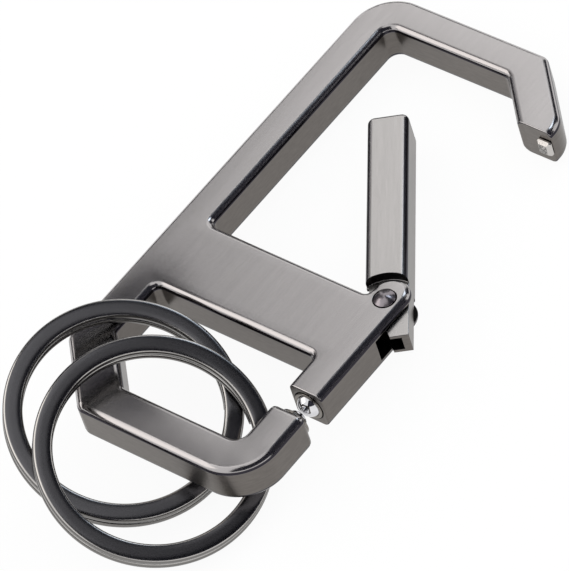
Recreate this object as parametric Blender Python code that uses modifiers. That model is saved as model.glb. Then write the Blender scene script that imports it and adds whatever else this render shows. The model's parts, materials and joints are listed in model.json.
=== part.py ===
"""Flat metal carabiner with a sprung gate, two sprung balls and two split key rings.

Run with: blender --background --python part.py
The frame lies flat: its spine runs along +Y, its front face looks up +Z, its back face is z = 0.
Sizes are metres. The sketch origin is the frame's lower left corner; the datum empty moves
the sketch so that the world origin is the middle of the web's back face.
"""
import math

import bmesh
import bpy
from mathutils import Matrix, Vector

MM = 0.001

# The plate
plate_thickness = 5.65 * MM
edge_radius = 0.4 * MM          # rounding of the plate's edges
frame_length = 74.6 * MM        # bottom bar to the hook's top
frame_width = 35.95 * MM        # spine to the boss's outer side
spine_width = 5.1 * MM
top_bar_width = 5.0 * MM
bottom_bar_width = 5.5 * MM
boss_width = 5.15 * MM
slant_width = 5.5 * MM          # the hook's slanted stretch
slant_run = 8.55 * MM           # legs of the 45 degree slant between top bar and nose
nose_drop = 10.9 * MM           # the nose's end below the hook's top
web_height = 11.2 * MM
web_middle_share = 0.352547     # of the frame's length
heel_chamfer = 8.7 * MM         # legs of the outer corner under the spine
heel_inner_chamfer = 6.8 * MM   # legs of the opening's corner there

# Corner rounding, seen from the front
hook_corner_radius = 6.0 * MM
slant_corner_radius = 1.5 * MM
nose_corner_radius = 3.6 * MM
inner_hook_radius = 1.5 * MM
heel_radius = 1.0 * MM
heel_inner_radius = 0.5 * MM
toe_radius = 6.4 * MM           # outer corner under the stub
toe_inner_radius = 1.5 * MM
web_corner_radius = 1.0 * MM
boss_fillet_radius = 1.0 * MM
lug_fillet_radius = 0.9 * MM
arc_step = math.radians(9.0)    # turn of one facet along a rounded corner

# Boss end and stub end, with a sprung ball in each
ball_gap_share = 0.559211        # height of the gap's middle in the ring opening
end_gap = 2.9 * MM              # boss end to stub end
rim_stand = 0.15 * MM           # sleeve rims stand proud of the ends
ball_radius = 1.7 * MM
ball_set_back = 0.55 * MM       # ball centre behind its rim
ball_travel = 1.2 * MM
ball_clearance = 0.1 * MM
sleeve_wall = 0.3 * MM
sleeve_length = 3.9 * MM
sleeve_lip_length = 0.2 * MM
lip_clearance = 0.03 * MM
fit_clearance = 0.1 * MM        # pressed pieces keep this to their bores
spring_wire = 0.3 * MM
ball_spring_radius = 1.1 * MM   # to the middle of the wire
ball_spring_length = 3.6 * MM
ball_spring_turns = 4
seat_gap = 0.3 * MM             # between pieces that rest on each other

# Lugs, rivet and gate
lug_thickness = 1.1 * MM
lug_height = 3.85 * MM          # lug top above the web
pivot_inset = 2.6 * MM          # rivet axis in from the boss's outer side
pivot_above_web = 0.2 * MM
pocket_length = 5.6 * MM        # pocket floor below the rivet axis
pocket_relief = 0.9 * MM        # pocket reaches past the boss into the web
rivet_radius = 1.0 * MM
rivet_head_radius = 1.5 * MM
rivet_head_height = 0.5 * MM
rivet_head_edge = 0.12 * MM
rivet_tip_radius = 0.35 * MM
head_gap = 0.1 * MM             # rivet heads keep this to the lugs
running_clearance = 0.08 * MM   # gate on rivet
side_clearance = 0.2 * MM       # gate tail between the lugs

gate_open_angle = math.radians(37.0)   # the pose modelled: swung in from the closed line
gate_inner_reach = 2.6 * MM     # gate's inner side from its axis line
gate_outer_reach = 2.8 * MM
gate_tip_gap = 0.3 * MM         # closed gate to nose
gate_tip_radius = 0.8 * MM
shoulder_radius = 4.2 * MM      # the gate's hollow round the lugs
tail_length = 5.3 * MM          # past the rivet axis
tail_inner_reach = 2.3 * MM
tail_wall = 0.5 * MM            # front and back walls of the tail
tail_outer_wall = 1.0 * MM
channel_length = 6.0 * MM       # hollow runs this far above the rivet
tail_scoop_radius = 3.5 * MM    # scooped inner corner of the tail
tail_scoop_in = 0.4 * MM        # its centre past the gate's inner side
tail_scoop_down = 1.0 * MM      # its centre past the tail's end

gate_spring_radius = 1.35 * MM
gate_spring_pitch = 0.72 * MM
gate_spring_turns = 2
gate_spring_long_leg = 4.6 * MM
gate_spring_short_leg = 2.2 * MM

# Catch stud in the nose
stud_head_width = 2.2 * MM
stud_head_depth = 2.4 * MM
stud_head_height = 0.7 * MM
stud_head_chamfer = 0.35 * MM
stud_shank_radius = 0.8 * MM
stud_shank_length = 2.0 * MM
stud_inset = 1.2 * MM           # stud axis in from the nose's outer side
stud_lift = 0.1 * MM            # stud axis forward of the plate's middle
stud_clearance = 0.35 * MM
stud_slot_depth = 1.0 * MM

# Split rings
ring_outer_radius = 15.0 * MM
ring_width = 2.5 * MM           # of the flat wire, across the ring
ring_height = 2.5 * MM          # two layers and the gap between them
ring_layer = 1.0 * MM
ring_chamfer = 0.15 * MM
ring_ramp = math.radians(30.0)  # stretch in which the wire changes layer
ring_end_gap = math.radians(8.0)
ring_turn_steps = 60
ring_ramp_steps = 6
back_ring_x_share = 0.299611    # its centre across the ring opening
back_ring_to_web = 2.2 * MM
back_ring_lift = 0.175 * MM     # centre forward of the plate's middle
back_ring_rise = 11.1211 * MM   # climbs this much over the ring opening's width
back_ring_lean = math.radians(4.6)
back_ring_turn = math.radians(42.0)
front_ring_x_share = 0.579767
front_ring_to_web = 5.05 * MM
front_ring_lift = -0.125 * MM
front_ring_rise = 12.4236 * MM
front_ring_lean = math.radians(5.5)
front_ring_turn = math.radians(57.0)
ring_swing_share = 0.657588     # the line that the rings swing about, across the ring opening
ring_swing_z = 1.0 * MM

overrun = 1.0 * MM              # cutters reach past the solid
weld_distance = 0.0005 * MM
round_sides = 32
bevel_segments = 2
ball_sides = 24
ball_bands = 14
coil_steps = 10                 # points in one turn of a spring
not_neighbours = 6              # steps apart that two points of one spring are compared
sharp_angle = math.radians(50.0)

# Worked out from the sizes above
boss_inner_x = frame_width - boss_width
ring_opening_width = boss_inner_x - spine_width
boss_middle_x = frame_width - boss_width / 2
plate_middle_z = plate_thickness / 2
nose_end_y = frame_length - nose_drop
web_bottom_y = frame_length * web_middle_share - web_height / 2
web_top_y = web_bottom_y + web_height
ball_gap_middle_y = bottom_bar_width + (web_bottom_y - bottom_bar_width) * ball_gap_share
boss_end_y = ball_gap_middle_y + end_gap / 2
stub_end_y = ball_gap_middle_y - end_gap / 2
lug_top_y = web_top_y + lug_height
pivot = Vector((frame_width - pivot_inset, web_top_y + pivot_above_web, 0.0))
gate_length = nose_end_y - gate_tip_gap - pivot.y
web_middle = Vector(((spine_width + boss_inner_x) / 2, (web_bottom_y + web_top_y) / 2, 0.0))
ring_inner_radius = ring_outer_radius - ring_width


def clear_scene():
    for item in list(bpy.data.objects):
        bpy.data.objects.remove(item, do_unlink=True)


def collection(name):
    group = bpy.data.collections.new(name)
    bpy.context.scene.collection.children.link(group)
    return group


def material(name, colour, roughness, metallic):
    finish = bpy.data.materials.new(name)
    finish.use_nodes = True
    shader = finish.node_tree.nodes["Principled BSDF"]
    shader.inputs["Base Color"].default_value = (*colour, 1.0)
    shader.inputs["Roughness"].default_value = roughness
    shader.inputs["Metallic"].default_value = metallic
    finish.diffuse_color = (*colour, 1.0)
    return finish


def new_object(name, mesh, group, finish=None, parent=None):
    item = bpy.data.objects.new(name, mesh)
    group.objects.link(item)
    if finish:
        mesh.materials.append(finish)
    item.parent = parent
    return item


def empty(name, parent=None, place=(0.0, 0.0, 0.0), turn=0.0):
    item = bpy.data.objects.new(name, None)
    parts.objects.link(item)
    item.parent = parent
    item.location = place
    item.rotation_euler.z = turn
    item.empty_display_size = frame_width / 4
    item.hide_render = True
    return item


def mesh_from(shape, name):
    bmesh.ops.recalc_face_normals(shape, faces=shape.faces)
    mesh = bpy.data.meshes.new(name)
    shape.to_mesh(mesh)
    shape.free()
    return mesh


def rounded(corners):
    """Points of an outline whose corners (x, y, radius) are rounded with arcs."""
    points = []
    count = len(corners)
    for index, (x, y, radius) in enumerate(corners):
        corner = Vector((x, y))
        if not radius:
            points.append(corner)
            continue
        back = (Vector(corners[index - 1][:2]) - corner).normalized()
        ahead = (Vector(corners[(index + 1) % count][:2]) - corner).normalized()
        half = back.angle(ahead) / 2
        centre = corner + (back + ahead).normalized() * radius / math.sin(half)
        start = corner + back * radius / math.tan(half) - centre
        sweep = start.angle_signed(corner + ahead * radius / math.tan(half) - centre)
        steps = max(2, round(abs(sweep) / arc_step))
        for step in range(steps + 1):
            spoke = start.copy()
            spoke.rotate(Matrix.Rotation(-sweep * step / steps, 2))
            points.append(centre + spoke)
    return points


def plate_mesh(name, points, thickness):
    """A flat outline made solid, z = 0 to its thickness."""
    curve = bpy.data.curves.new(name, "CURVE")
    curve.dimensions = "2D"
    curve.fill_mode = "BOTH"
    curve.extrude = thickness / 2
    spline = curve.splines.new("POLY")
    spline.points.add(len(points) - 1)
    for slot, point in zip(spline.points, points):
        slot.co = (point.x, point.y, 0.0, 1.0)
    spline.use_cyclic_u = True
    carrier = bpy.data.objects.new(name + "_outline", curve)
    parts.objects.link(carrier)
    depsgraph = bpy.context.evaluated_depsgraph_get()
    mesh = bpy.data.meshes.new_from_object(carrier.evaluated_get(depsgraph))
    bpy.data.objects.remove(carrier, do_unlink=True)
    bpy.data.curves.remove(curve)
    shape = bmesh.new()
    shape.from_mesh(mesh)
    bmesh.ops.remove_doubles(shape, verts=shape.verts, dist=weld_distance)
    bmesh.ops.translate(shape, verts=shape.verts, vec=(0.0, 0.0, thickness / 2))
    bpy.data.meshes.remove(mesh)
    return mesh_from(shape, name)


def box_mesh(name, low, high):
    low, high = Vector(low), Vector(high)
    shape = bmesh.new()
    bmesh.ops.create_cube(shape, size=1.0)
    bmesh.ops.scale(shape, verts=shape.verts, vec=high - low)
    bmesh.ops.translate(shape, verts=shape.verts, vec=(low + high) / 2)
    return mesh_from(shape, name)


def cylinder_mesh(name, radius, start, end):
    """A round bar between two points."""
    start, end = Vector(start), Vector(end)
    axis = end - start
    shape = bmesh.new()
    bmesh.ops.create_cone(shape, cap_ends=True, segments=round_sides, radius1=radius,
                          radius2=radius, depth=axis.length)
    turn = axis.to_track_quat("Z", "Y").to_matrix().to_4x4()
    bmesh.ops.transform(shape, verts=shape.verts, matrix=Matrix.Translation((start + end) / 2) @ turn)
    return mesh_from(shape, name)


def cut(target, name, mesh):
    cutter = new_object(name, mesh, cutters, parent=target.parent)
    cutter.location = target.location
    cutter.rotation_euler = target.rotation_euler
    cutter.hide_render = True
    cutter.display_type = "WIRE"
    difference = target.modifiers.new(name, "BOOLEAN")
    difference.operation = "DIFFERENCE"
    difference.solver = "EXACT"
    difference.object = cutter


def round_edges(item, radius):
    bevel = item.modifiers.new("rounded_edges", "BEVEL")
    bevel.width = radius
    bevel.segments = bevel_segments
    bevel.limit_method = "ANGLE"
    bevel.angle_limit = sharp_angle


def turned(name, profile, finish):
    """A profile of (radius, height) points, in order round the section, turned about Z."""
    mesh = bpy.data.meshes.new(name)
    shape = bmesh.new()
    verts = [shape.verts.new((radius, 0.0, height)) for radius, height in profile]
    closed = profile[0][0] > 0
    for first, second in zip(verts, verts[1:] + verts[:1] if closed else verts[1:]):
        shape.edges.new((first, second))
    shape.to_mesh(mesh)
    shape.free()
    item = new_object(name, mesh, parts, finish, datum)
    screw = item.modifiers.new("turned", "SCREW")
    screw.steps = round_sides
    screw.render_steps = round_sides
    screw.use_merge_vertices = True
    screw.merge_threshold = weld_distance
    screw.use_smooth_shade = False
    return item


def wire(name, points, radius, finish, parent):
    """A round wire along points, its caps closed."""
    curve = bpy.data.curves.new(name, "CURVE")
    curve.dimensions = "3D"
    curve.bevel_depth = radius
    curve.bevel_resolution = 1
    curve.use_fill_caps = True
    spline = curve.splines.new("POLY")
    spline.points.add(len(points) - 1)
    for slot, point in zip(spline.points, points):
        slot.co = (*point, 1.0)
    return new_object(name, curve, parts, finish, parent)


def least_gap(points, wire_thickness):
    """Least gap of a wound wire to itself, over points that are not neighbours."""
    least = min((points[i] - points[j]).length for i in range(len(points))
                for j in range(i + not_neighbours, len(points)))
    return least - wire_thickness


def coil_points(radius, pitch, turns):
    """Middle line of a coil that climbs +Z from z = 0."""
    return [Vector((radius * math.cos(math.tau * step / coil_steps),
                    radius * math.sin(math.tau * step / coil_steps),
                    pitch * step / coil_steps)) for step in range(turns * coil_steps + 1)]


def frame_outline():
    slant_top_x = frame_width - slant_run
    slant_low_y = frame_length - slant_run
    inner_sum = slant_top_x + frame_length - slant_width * math.sqrt(2)
    inner_top_y = frame_length - top_bar_width
    lug_radius = boss_width / 2 - weld_distance
    return rounded([
        (0.0, heel_chamfer, heel_radius),
        (0.0, frame_length, hook_corner_radius),
        (slant_top_x, frame_length, slant_corner_radius),
        (frame_width, slant_low_y, nose_corner_radius),
        (frame_width, nose_end_y, 0),
        (inner_sum - nose_end_y, nose_end_y, 0),
        (inner_sum - inner_top_y, inner_top_y, slant_corner_radius),
        (spine_width, inner_top_y, inner_hook_radius),
        (spine_width, web_top_y, web_corner_radius),
        (boss_inner_x, web_top_y, lug_fillet_radius),
        (boss_inner_x, lug_top_y, lug_radius),
        (frame_width, lug_top_y, lug_radius),
        (frame_width, boss_end_y, 0),
        (boss_inner_x, boss_end_y, 0),
        (boss_inner_x, web_bottom_y, boss_fillet_radius),
        (spine_width, web_bottom_y, web_corner_radius),
        (spine_width, bottom_bar_width + heel_inner_chamfer, heel_inner_radius),
        (spine_width + heel_inner_chamfer, bottom_bar_width, heel_inner_radius),
        (boss_inner_x, bottom_bar_width, toe_inner_radius),
        (boss_inner_x, stub_end_y, 0),
        (frame_width, stub_end_y, 0),
        (frame_width, 0.0, toe_radius),
        (heel_chamfer, 0.0, heel_radius),
    ])


def ball_places():
    """Each ball: name, the y of its body's end, and which way the bore runs."""
    return (("upper_ball", boss_end_y, 1.0), ("lower_ball", stub_end_y, -1.0))


def frame():
    item = new_object("frame", plate_mesh("frame", frame_outline(), plate_thickness), parts,
                      satin_steel, datum)
    round_edges(item, edge_radius)
    cut(item, "lug_pocket", box_mesh(
        "lug_pocket",
        (boss_inner_x - pocket_relief, pivot.y - pocket_length, lug_thickness),
        (frame_width + overrun, lug_top_y + overrun, plate_thickness - lug_thickness)))
    cut(item, "rivet_bore", cylinder_mesh(
        "rivet_bore", rivet_radius + fit_clearance,
        pivot - Vector((0.0, 0.0, overrun)), pivot + Vector((0.0, 0.0, plate_thickness + overrun))))
    for name, end_y, way in ball_places():
        mouth = Vector((boss_middle_x, end_y - way * overrun, plate_middle_z))
        sleeve_end = end_y - way * rim_stand + way * (sleeve_length + fit_clearance)
        spring_end = end_y + way * (spring_run() - rim_stand)
        cut(item, name + "_bore", cylinder_mesh(
            name + "_bore", sleeve_radius() + fit_clearance, mouth,
            (boss_middle_x, sleeve_end, plate_middle_z)))
        cut(item, name + "_spring_bore", cylinder_mesh(
            name + "_spring_bore", ball_spring_radius + spring_wire / 2 + side_clearance, mouth,
            (boss_middle_x, spring_end, plate_middle_z)))
    stud = stud_place()
    cut(item, "stud_bore", cylinder_mesh(
        "stud_bore", stud_shank_radius + fit_clearance, stud - Vector((0.0, overrun, 0.0)),
        stud + Vector((0.0, stud_shank_length + fit_clearance, 0.0))))
    return item


def sleeve_radius():
    return ball_radius + ball_clearance + sleeve_wall


def spring_run():
    """From a sleeve's rim to the end of the spring bore behind it."""
    return ball_set_back + ball_radius + seat_gap + ball_spring_length + ball_travel + seat_gap


def stud_place():
    return Vector((frame_width - stud_inset, nose_end_y, plate_middle_z + stud_lift))


def catch_stud():
    place = stud_place()
    item = new_object("catch_stud", box_mesh(
        "catch_stud",
        (-stud_head_width / 2, -stud_head_height, -stud_head_depth / 2),
        (stud_head_width / 2, 0.0, stud_head_depth / 2)), parts, bright_steel, datum)
    item.location = place - Vector((0.0, head_gap, 0.0))
    bevel = item.modifiers.new("faceted_head", "BEVEL")
    bevel.width = stud_head_chamfer
    bevel.segments = 1
    bevel.limit_method = "WEIGHT"
    weights = item.data.attributes.new("bevel_weight_edge", "FLOAT", "EDGE")
    for edge in item.data.edges:
        lower = all(item.data.vertices[index].co.y < -stud_head_height / 2 for index in edge.vertices)
        weights.data[edge.index].value = 1.0 if lower else 0.0
    shank = new_object("stud_shank", cylinder_mesh(
        "stud_shank", stud_shank_radius, (0.0, -stud_head_height / 2, 0.0),
        (0.0, stud_shank_length, 0.0)), cutters, parent=datum)
    shank.location = item.location
    shank.hide_render = True
    shank.display_type = "WIRE"
    union = item.modifiers.new("shank", "BOOLEAN")
    union.operation = "UNION"
    union.solver = "EXACT"
    union.object = shank
    return item


def gate_outline():
    return rounded([
        (-gate_inner_reach, -tail_length, 0),
        (-gate_inner_reach, gate_length, gate_tip_radius),
        (gate_outer_reach, gate_length, gate_tip_radius),
        (gate_outer_reach, -tail_length, 0),
    ])


def lug_hollow_outline():
    """A wide slot with a round end, which the gate's shoulders leave for a lug."""
    reach = shoulder_radius
    return rounded([
        (-reach, -tail_length - overrun, 0),
        (-reach, reach, reach - weld_distance),
        (reach, reach, reach - weld_distance),
        (reach, -tail_length - overrun, 0),
    ])


def shifted(mesh, vector):
    mesh.transform(Matrix.Translation(vector))
    return mesh


def gate():
    item = new_object("gate", plate_mesh("gate", gate_outline(), plate_thickness), parts,
                      satin_gate, gate_hinge)
    round_edges(item, edge_radius)
    hollow = lug_thickness + side_clearance
    cut(item, "front_lug_hollow", shifted(
        plate_mesh("front_lug_hollow", lug_hollow_outline(), hollow + overrun),
        (0.0, 0.0, plate_thickness - hollow)))
    cut(item, "back_lug_hollow", shifted(
        plate_mesh("back_lug_hollow", lug_hollow_outline(), hollow + overrun),
        (0.0, 0.0, -overrun)))
    cut(item, "tail_inner_side", box_mesh(
        "tail_inner_side",
        (-gate_inner_reach - overrun, -tail_length - overrun, -overrun),
        (-tail_inner_reach, shoulder_low(), plate_thickness + overrun)))
    cut(item, "tail_channel", box_mesh(
        "tail_channel",
        (-gate_inner_reach - overrun, -tail_length - overrun, hollow + tail_wall),
        (gate_outer_reach - tail_outer_wall, channel_length,
         plate_thickness - hollow - tail_wall)))
    scoop = Vector((-gate_inner_reach - tail_scoop_in, -tail_length - tail_scoop_down, 0.0))
    cut(item, "tail_scoop", cylinder_mesh(
        "tail_scoop", tail_scoop_radius, scoop - Vector((0.0, 0.0, overrun)),
        scoop + Vector((0.0, 0.0, plate_thickness + overrun))))
    cut(item, "gate_bore", cylinder_mesh(
        "gate_bore", rivet_radius + running_clearance, (0.0, 0.0, -overrun),
        (0.0, 0.0, plate_thickness + overrun)))
    stud = stud_place() - pivot
    cut(item, "stud_slot", box_mesh(
        "stud_slot",
        (stud.x - stud_head_width / 2 - stud_clearance, gate_length - stud_slot_depth,
         stud.z - stud_head_depth / 2 - stud_clearance),
        (gate_outer_reach + overrun, gate_length + overrun,
         stud.z + stud_head_depth / 2 + stud_clearance)))
    return item


def shoulder_low():
    """Where the gate's hollow meets its inner side."""
    return math.sqrt(shoulder_radius ** 2 - gate_inner_reach ** 2) - side_clearance


def gate_rivet():
    top = plate_thickness + head_gap
    half = [
        (0.0, rivet_head_height),
        (rivet_tip_radius, rivet_head_height - rivet_head_edge / 2),
        ((rivet_tip_radius + rivet_head_radius) / 2, (rivet_head_height + rivet_head_edge) / 2),
        (rivet_head_radius, rivet_head_edge),
        (rivet_head_radius, 0.0),
        (rivet_radius, 0.0),
    ]
    profile = [(radius, top + height) for radius, height in half]
    profile += [(radius, -head_gap - height) for radius, height in reversed(half)]
    item = turned("gate_rivet", profile, dark_steel)
    item.location = pivot
    return item


def gate_spring():
    height = gate_spring_pitch * gate_spring_turns
    coil = coil_points(gate_spring_radius, gate_spring_pitch, gate_spring_turns)
    coil = [Vector((point.x, point.y, point.z + plate_middle_z - height / 2)) for point in coil]
    first, last = coil[0], coil[-1]
    short_leg = first - Vector((0.0, gate_spring_short_leg, 0.0))
    long_leg = last - Vector((0.0, gate_spring_long_leg, 0.0))
    points = [short_leg] + coil + [long_leg]
    item = wire("gate_spring", points, spring_wire / 2, spring_steel, gate_hinge)
    item.rotation_euler.z = math.pi
    print("gate spring, least gap between turns (mm):",
          round(least_gap(coil, spring_wire) / MM, 3))
    return item


def ball_set(name, end_y, way):
    """A ball, its sleeve and its spring. Way is +1 where the bore runs to +Y."""
    rim_y = end_y - way * rim_stand
    centre = Vector((boss_middle_x, rim_y + way * ball_set_back, plate_middle_z))
    shape = bmesh.new()
    bmesh.ops.create_uvsphere(shape, u_segments=ball_sides, v_segments=ball_bands, radius=ball_radius)
    ball = new_object(name, mesh_from(shape, name), parts, mirror_steel, datum)
    ball.location = centre
    lip_deep = ball_set_back - sleeve_lip_length
    lip_out = math.sqrt(ball_radius ** 2 - ball_set_back ** 2) + lip_clearance
    lip_in = math.sqrt(ball_radius ** 2 - lip_deep ** 2) + lip_clearance
    bore = ball_radius + ball_clearance
    outer = sleeve_radius()
    sleeve = turned(name + "_sleeve", [
        (outer, ball_set_back), (outer, ball_set_back - sleeve_length),
        (bore, ball_set_back - sleeve_length), (bore, lip_deep),
        (lip_in, lip_deep), (lip_out, ball_set_back),
    ], bright_steel)
    sleeve.location = centre
    sleeve.rotation_euler.x = math.pi / 2 * way
    pitch = (ball_spring_length - spring_wire) / ball_spring_turns
    coil = coil_points(ball_spring_radius, pitch, ball_spring_turns)
    spring = wire(name + "_spring", coil, spring_wire / 2, spring_steel, datum)
    spring.location = centre + Vector((0.0, way * (ball_radius + seat_gap + spring_wire / 2), 0.0))
    spring.rotation_euler.x = -math.pi / 2 * way
    print(name, "spring, least gap between turns (mm):",
          round(least_gap(coil, spring_wire) / MM, 3))


def ring_profile():
    """Section of the flat wire, its corners cut, as (radius, height) about the layer's middle."""
    half = ring_layer / 2
    return [
        (ring_inner_radius + ring_chamfer, -half), (ring_outer_radius - ring_chamfer, -half),
        (ring_outer_radius, -half + ring_chamfer), (ring_outer_radius, half - ring_chamfer),
        (ring_outer_radius - ring_chamfer, half), (ring_inner_radius + ring_chamfer, half),
        (ring_inner_radius, half - ring_chamfer), (ring_inner_radius, -half + ring_chamfer),
    ]


def ring_heights():
    """Height of the wire's middle at each step of its two turns, and the turn of one step."""
    low, high = (ring_layer - ring_height) / 2, (ring_height - ring_layer) / 2
    step = math.tau / ring_turn_steps
    flat = round((math.tau - ring_ramp) / step)
    last = round((math.tau - ring_ramp - ring_end_gap) / step)
    ramp = round(ring_ramp / step)
    heights = [low] * (flat + 1)
    for index in range(1, ramp):
        share = index / ramp
        heights.append(low + (high - low) * share * share * (3 - 2 * share))
    heights += [high] * (last + 1)
    return heights, step


def split_ring(name, x_share, to_web, lift, rise, lean, turn):
    """Two flat turns of one flat wire, which changes layer over a short ramp."""
    centre = Vector((spine_width + ring_opening_width * x_share,
                     web_bottom_y - to_web - ring_outer_radius, plate_middle_z + lift))
    tilt = math.atan(rise / ring_opening_width)
    heights, step = ring_heights()
    shape = bmesh.new()
    ends = [shape.verts.new((radius, 0.0, heights[0] + height)) for radius, height in ring_profile()]
    start = shape.faces.new(ends)
    section = start
    for first, second in zip(heights, heights[1:]):
        made = bmesh.ops.spin(shape, geom=[section], axis=(0.0, 0.0, 1.0), angle=step, steps=1,
                              dvec=(0.0, 0.0, second - first))
        if section is not start:
            bmesh.ops.delete(shape, geom=[section], context="FACES_ONLY")
        section = next(item for item in made["geom_last"] if isinstance(item, bmesh.types.BMFace))
    mesh = mesh_from(shape, name)
    mesh.transform(Matrix.Rotation(tilt, 4, "Y") @ Matrix.Rotation(lean, 4, "X")
                   @ Matrix.Rotation(turn, 4, "Z"))
    item = new_object(name, mesh, parts, ring_steel, ring_swing)
    item.location = centre - ring_swing.location
    apart = min(abs(heights[index + ring_turn_steps] - heights[index])
                for index in range(len(heights) - ring_turn_steps))
    print(name, "least gap between layers (mm):", round((apart - ring_layer) / MM, 3))


clear_scene()
parts = collection("carabiner_keychain")
cutters = collection("cutters")

satin_steel = material("satin_steel", (0.42, 0.40, 0.385), 0.36, 1.0)
satin_gate = material("satin_gate", (0.47, 0.45, 0.44), 0.34, 1.0)
dark_steel = material("dark_steel", (0.16, 0.15, 0.16), 0.22, 1.0)
bright_steel = material("bright_steel", (0.62, 0.60, 0.58), 0.18, 1.0)
mirror_steel = material("mirror_steel", (0.80, 0.80, 0.80), 0.05, 1.0)
spring_steel = material("spring_steel", (0.45, 0.45, 0.46), 0.30, 1.0)
ring_steel = material("ring_steel", (0.10, 0.095, 0.095), 0.34, 1.0)

datum = empty("frame_corner", place=-web_middle)
gate_hinge = empty("gate_hinge", datum, pivot, gate_open_angle)
ring_swing = empty("ring_swing", datum, (
    spine_width + ring_opening_width * ring_swing_share, bottom_bar_width / 2, ring_swing_z))

frame()
gate()
gate_rivet()
gate_spring()
catch_stud()
for ball_name, ball_end_y, ball_way in ball_places():
    ball_set(ball_name, ball_end_y, ball_way)
split_ring("key_ring_back", back_ring_x_share, back_ring_to_web, back_ring_lift,
           back_ring_rise, back_ring_lean, back_ring_turn)
split_ring("key_ring_front", front_ring_x_share, front_ring_to_web, front_ring_lift,
           front_ring_rise, front_ring_lean, front_ring_turn)
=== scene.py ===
"""Looks of a flat metal carabiner with a sprung gate, two sprung balls and two split key rings."""
import json
from math import atan, atan2, copysign, cos, hypot, pi, radians, sin, sqrt, tan, tau

import bmesh
import bpy
from bpy.props import FloatProperty, FloatVectorProperty, IntProperty, PointerProperty
from mathutils import Matrix, Vector


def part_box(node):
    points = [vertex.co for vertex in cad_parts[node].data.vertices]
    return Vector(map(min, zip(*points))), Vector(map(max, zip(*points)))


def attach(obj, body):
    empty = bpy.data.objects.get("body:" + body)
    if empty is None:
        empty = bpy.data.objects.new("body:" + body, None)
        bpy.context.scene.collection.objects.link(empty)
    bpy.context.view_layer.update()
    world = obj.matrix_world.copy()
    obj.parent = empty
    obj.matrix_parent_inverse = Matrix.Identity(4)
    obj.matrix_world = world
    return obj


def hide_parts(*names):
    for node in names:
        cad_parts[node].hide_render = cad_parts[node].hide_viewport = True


bl_info = {
    "name": "Carabiner keychain",
    "version": (1, 0, 0),
    "blender": (4, 5, 0),
    "location": "View3D > Sidebar > Carabiner",
    "description": "Builds the plate, gate, rivet, balls, springs and rings with their finishes",
    "category": "Object",
}

MM = 0.001
TOUCH = 0.001 * MM  # ends nearer to each other than this meet

# The plate's corners, seen from the front
HEEL_ROUND = 1.6 * MM
HOOK_ROUND = 6.0 * MM
SLANT_ROUND = 1.5 * MM
NOSE_ROUND = 3.6 * MM
OPENING_ROUND = 1.5 * MM
WEB_ROUND = 1.0 * MM
LUG_ROUND = 0.9 * MM
RING_SIDE_ROUND = 0.5 * MM
STUB_ROUND = 6.4 * MM
ARC_STEP = radians(3.0)

# Bores, play and fine forms
SLEEVE_BORE = 3.85 * MM
SPRING_BORE = 7.5 * MM
STUD_BORE = 2.1 * MM
CUTTER_PAST = 1.0 * MM  # where a bore's cutter begins, before its mouth
RIVET_PLAY = 0.08 * MM
SPRING_LEGS = (2.2 * MM, 4.6 * MM)
DOME_STEPS = 14
DOME_POWER = 1.7
HEAD_SOFT = 0.05 * MM
LIP_SOFT = 0.09 * MM
LIP_GAP = 0.03 * MM
LIP_WIDTH = 0.2 * MM
STUD_EDGE = 0.06 * MM
CORE_BLEND = 1.2 * MM
NEARLY_FLAT = radians(0.2)
SHARP = radians(28.0)
LEAST_ROOM = 0.6  # shortest edge beside a softened one, in widths of its rounding
RING_SPLITS = 10  # parts that a flat side of the rings' wire is domed in

# Cards: name, degrees round Z, degrees above the floor
CARDS = (
    ("card_right", (8.0, 38.0), (-3.0, 30.0)),
    ("card_right_high", (8.0, 62.0), (30.0, 50.0)),
    ("card_gate", (66.0, 97.0), (-3.0, 50.0)),
    ("card_back", (118.0, 142.0), (-3.0, 18.0)),
    ("card_high", (8.0, 118.0), (50.0, 74.0)),
    ("card_left", (150.0, 186.0), (-3.0, 22.0)),
    ("card_front", (285.0, 368.0), (21.0, 72.0)),
    ("card_low", (186.0, 275.0), (-4.0, 4.0)),
)
CARD_TONE = (0.03, 0.03, 0.04)
FLOOR_TONE = (0.94, 0.94, 0.94)
FLOOR_DROP = 0.05 * MM  # below the back face, so that the plate doesn't cut it

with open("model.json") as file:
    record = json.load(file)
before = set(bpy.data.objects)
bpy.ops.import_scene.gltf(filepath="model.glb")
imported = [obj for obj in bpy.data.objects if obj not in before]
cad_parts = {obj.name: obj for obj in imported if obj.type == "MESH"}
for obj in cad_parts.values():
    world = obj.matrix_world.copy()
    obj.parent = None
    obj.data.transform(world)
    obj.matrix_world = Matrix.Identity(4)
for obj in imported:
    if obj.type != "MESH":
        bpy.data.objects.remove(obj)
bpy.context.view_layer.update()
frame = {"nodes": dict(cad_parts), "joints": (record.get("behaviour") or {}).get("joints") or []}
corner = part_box("frame")[0]
pivot = Vector(next(joint["pos_m"] for joint in frame["joints"] if joint["name"] == "gate_pivot"))


def mm(name, description, millimetres):
    return FloatProperty(name=name, description=description, default=millimetres * MM,
                         unit="LENGTH", precision=5)


def turn(name, description, degrees):
    return FloatProperty(name=name, description=description, default=radians(degrees),
                         subtype="ANGLE")


def colour(name, description, shade):
    return FloatVectorProperty(name=name, description=description, default=shade, size=3,
                               subtype="COLOR", min=0.0, max=1.0)


def spot(name, description, *millimetres):
    return FloatVectorProperty(name=name, description=description, size=3, precision=5,
                               default=[part * MM for part in millimetres],
                               subtype="TRANSLATION")


def amount(name, description, value, **more):
    return FloatProperty(name=name, description=description, default=value, min=0.0, **more)


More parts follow.
